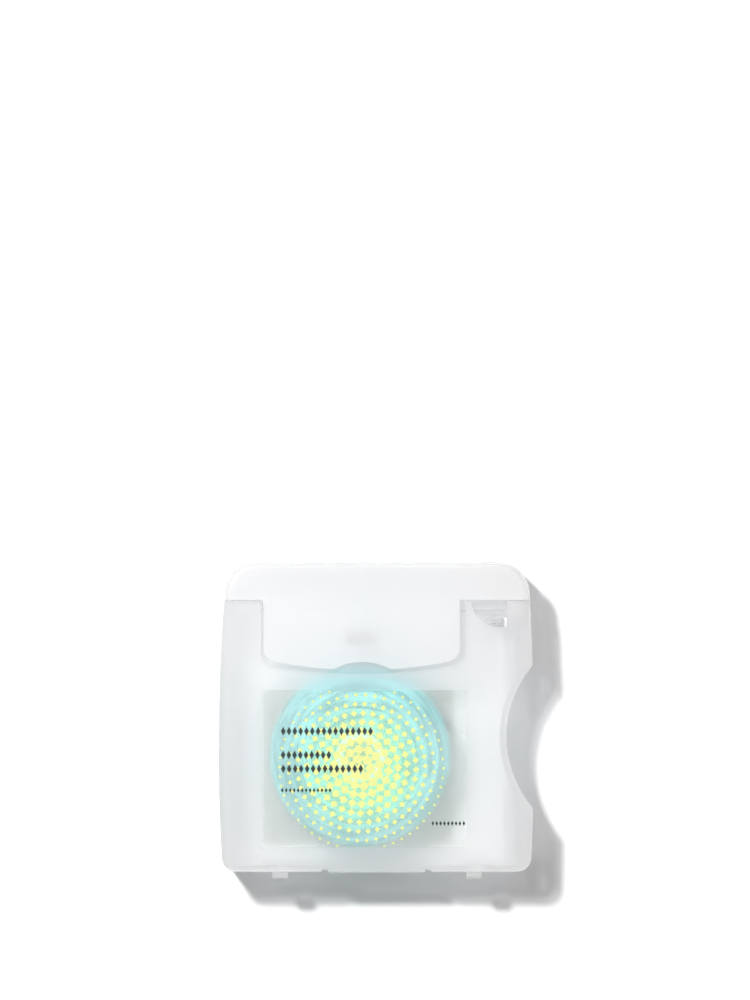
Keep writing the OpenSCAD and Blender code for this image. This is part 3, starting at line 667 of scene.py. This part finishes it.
lead_mesh = bpy.data.meshes.new_from_object(lead_drawn.evaluated_get(graph), depsgraph=graph)
bpy.data.objects.remove(lead_drawn)
lead_mesh.materials.append(strand_material)
lead_mesh.shade_smooth()
lead = placed("floss_strand", lead_mesh)
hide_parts("floss_lead")
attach(lead, "case")


# Back label. A white film, glued into its recess on the back.
# It is printed with nothing but plain ruled lines.
PAPER_WHITE = (0.86, 0.86, 0.85, 1)
RULE_GREY = (0.42, 0.45, 0.46, 1)
# The rules, and the middle and half size of their field, in millimetres
RULE_PITCH = 2.4
RULE_WIDTH = 0.22
FIELD_X = -3.15
FIELD_Y = -8.8
FIELD_HALF_WIDTH = 14.5
FIELD_HALF_HEIGHT = 11.2

paper, start = surface("back_label_film")
x, y, z = place_in_piece(start).axes()
line = y / RULE_PITCH
rule = (line - line.floor() - 0.5).size() < RULE_WIDTH / RULE_PITCH / 2
in_field = ((x - FIELD_X).size() < FIELD_HALF_WIDTH) * ((y - FIELD_Y).size() < FIELD_HALF_HEIGHT)
finish_surface(start, start.node("ShaderNodeBsdfPrincipled", None, {
    "Base Color": (rule * in_field).mix(PAPER_WHITE, RULE_GREY), "Roughness": 0.4}))
softened("back_label", "back_label_film", paper, round_by=0.02 * MM)


# Front cover. The shallow front shell, of the same plastic, with the flap's cut-out and the latch window.
# Its outer face is spark-textured, and turns clearer where the label's glue wets it.
FACE_COLOUR = (0.955, 0.952, 0.954, 1)
WETTED_BLUR = 0.24
# Depth of the face that the glue clears, in millimetres
WETTED_DEPTH = 1.4
label_low, label_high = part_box("front_label")
face_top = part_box("front_cover")[1].z


def wetted(start, where, rough):
    """Less blur in the face under the label."""
    x, y, z = where.axes()
    middle_x = (label_low.x + label_high.x) / 2 / MM
    middle_y = (label_low.y + label_high.y) / 2 / MM
    half_x = (label_high.x - label_low.x) / 2 / MM
    half_y = (label_high.y - label_low.y) / 2 / MM
    in_face = z > face_top / MM - WETTED_DEPTH
    under = ((x - middle_x).size() < half_x) * ((y - middle_y).size() < half_y) * in_face
    return rough * (1 - under) + under * WETTED_BLUR


cover_plastic = frosted("cover_plastic", FACE_COLOUR, clearer=wetted)
softened("front_cover", "front_shell", cover_plastic, round_by=0.22 * MM, rim_by=0.9 * MM, level=face_top)
for lug in ("cover_lug_left", "cover_lug_right"):
    softened(lug, lug + "_moulded", clear_plastic, round_by=0.12 * MM)


# Film hinge of the cover. One thin strip of the same plastic spans the gap between the two shells.
# It ends in two small pads, where the plastic ran into the mould.
HINGE_STEPS = 12
PAD_WIDTH = 1.8 * MM
PAD_PROUD = 0.12 * MM
PAD_RISE = 0.4 * MM
PAD_FALL = 0.3 * MM
hinge_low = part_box("case_film_hinge")[0]
hinge_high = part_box("cover_film_hinge")[1]
strip = bmesh.new()
outer_y = hinge_low.y
pad = [(0, 0), (PAD_RISE, PAD_PROUD), (PAD_WIDTH, PAD_PROUD), (PAD_WIDTH + PAD_FALL, 0)]
stations = [(hinge_low.x + inwards, proud) for inwards, proud in pad]
stations += [(hinge_high.x - inwards, proud) for inwards, proud in reversed(pad)]
rows = []
for i in range(HINGE_STEPS + 1):
    z = hinge_low.z + (hinge_high.z - hinge_low.z) * i / HINGE_STEPS
    outside = [strip.verts.new((x, outer_y - proud, z)) for x, proud in stations]
    inside = [strip.verts.new((x, hinge_high.y, z)) for x, proud in reversed(stations)]
    rows.append(outside + inside)
for low, high in zip(rows, rows[1:]):
    for j in range(len(low)):
        k = (j + 1) % len(low)
        strip.faces.new((low[j], low[k], high[k], high[j]))
strip.faces.new(list(reversed(rows[0])))
strip.faces.new(rows[-1])
bmesh.ops.recalc_face_normals(strip, faces=strip.faces)
strip_mesh = bpy.data.meshes.new("cover_hinge_film")
strip.to_mesh(strip_mesh)
strip.free()
strip_mesh.materials.append(clear_plastic)
film = placed("cover_hinge_film", strip_mesh)
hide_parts("case_film_hinge", "cover_film_hinge")
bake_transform(film)


# Front label. A clear film with a generic print: rings of yellow lozenges that shrink outwards over a faint
# green ground, and rows of small dark lozenges. The bare film shows only by its gloss.
INK_YELLOW = (0.85, 0.87, 0.34, 1)
INK_GREEN = (0.42, 0.84, 0.52, 1)
INK_DARK = (0.016, 0.03, 0.035, 1)
YELLOW_COVER = 0.92
GREEN_COVER = 0.35
DARK_COVER = 0.9
FILM_COVER = 0.02
# Middle of the rings and their pitch, in millimetres
PRINT_X = -2.6
PRINT_Y = -8.6
RING_PITCH = 1.65
LAST_RING = 9
LOZENGES_A_RING = 6
# Each ring is turned against the one before it by this part of a lozenge's place
RING_TURN = 0.618
# Size of the lozenges against their place, in the middle and in the last ring
FIRST_SHARE = 1.5
LAST_SHARE = 0.35
LOZENGE_EDGE = 0.05
# How far out the green ground reaches, in millimetres
GROUND_REACH = 0.95 * LAST_RING * RING_PITCH
# Each dark row, in millimetres: its left and right ends, its level, the lozenges' height and their pitch
DARK_ROWS = (
    (-17.3, -0.4, -2.0, 1.6, 1.055),
    (-17.3, -8.0, -6.3, 1.6, 1.035),
    (-17.3, -2.2, -8.8, 1.6, 1.08),
    (-17.3, -7.9, -12.7, 0.9, 0.72),
    (10.0, 16.3, -18.7, 0.9, 0.7))
DARK_WIDTH_SHARE = 0.27
DARK_EDGE = 0.1

print_film, start = surface("printed_film")
x, y, z = place_in_piece(start).axes()
across_x = x - PRINT_X
across_y = y - PRINT_Y
away = (across_x * across_x + across_y * across_y) ** 0.5
ring = (away / RING_PITCH + 0.5).floor()
number = start.math("MAXIMUM", ring * LOZENGES_A_RING, 1)
place = start.math("ARCTAN2", across_y, across_x) / math.tau * number + ring * RING_TURN
along = (place - place.floor() - 0.5).size() * 2
outward = (away / RING_PITCH - ring).size() * 2
share = FIRST_SHARE - ring * ((FIRST_SHARE - LAST_SHARE) / LAST_RING)
yellow = (along + outward - share).step(LOZENGE_EDGE, -LOZENGE_EDGE) * (ring < LAST_RING + 0.5)
ground = away.step(GROUND_REACH, 0)
dark = None
for left, right, level, tall, pitch in DARK_ROWS:
    cell = (x - left) / pitch
    aside = (cell - cell.floor() - 0.5).size() * pitch / (tall * DARK_WIDTH_SHARE)
    inside = (aside + (y - level).size() / (tall / 2) - 1).step(DARK_EDGE, -DARK_EDGE)
    mark = inside * (x > left) * (x < right)
    dark = mark if dark is None else start.math("MAXIMUM", dark, mark)
coloured = dark.mix(yellow.mix(INK_GREEN, INK_YELLOW), INK_DARK)
inked = start.math("MAXIMUM", yellow * YELLOW_COVER, dark * DARK_COVER)
covered = start.math("MAXIMUM", inked, ground * GREEN_COVER)
ink = start.node("ShaderNodeBsdfPrincipled", None, {
    "Base Color": coloured, "Roughness": 0.2, "Alpha": start.math("MAXIMUM", covered, FILM_COVER)})
from_lamp = rays(start, "Is Shadow Ray")[0]
open_way = start.node("ShaderNodeBsdfTransparent")
finish_surface(start, start.node("ShaderNodeMixShader", None, {0: from_lamp, 1: ink, 2: open_way}))
softened("front_label", "front_label_film", print_film, round_by=0.02 * MM)


# Flip lid. The cap over the sloped end and its long front flap are one moulding, a little milkier.
# It turns on its own film hinge along the top rear edge.
LID_COLOUR = (0.961, 0.958, 0.96, 1)
lid_plastic = frosted("lid_plastic", LID_COLOUR, milk=0.45)
softened("flip_lid", "lid_shell", lid_plastic, round_by=0.22 * MM, rim_by=1.1 * MM, level=face_top)
softened("lid_film_hinge", "lid_hinge_film", clear_plastic, round_by=0.04 * MM)
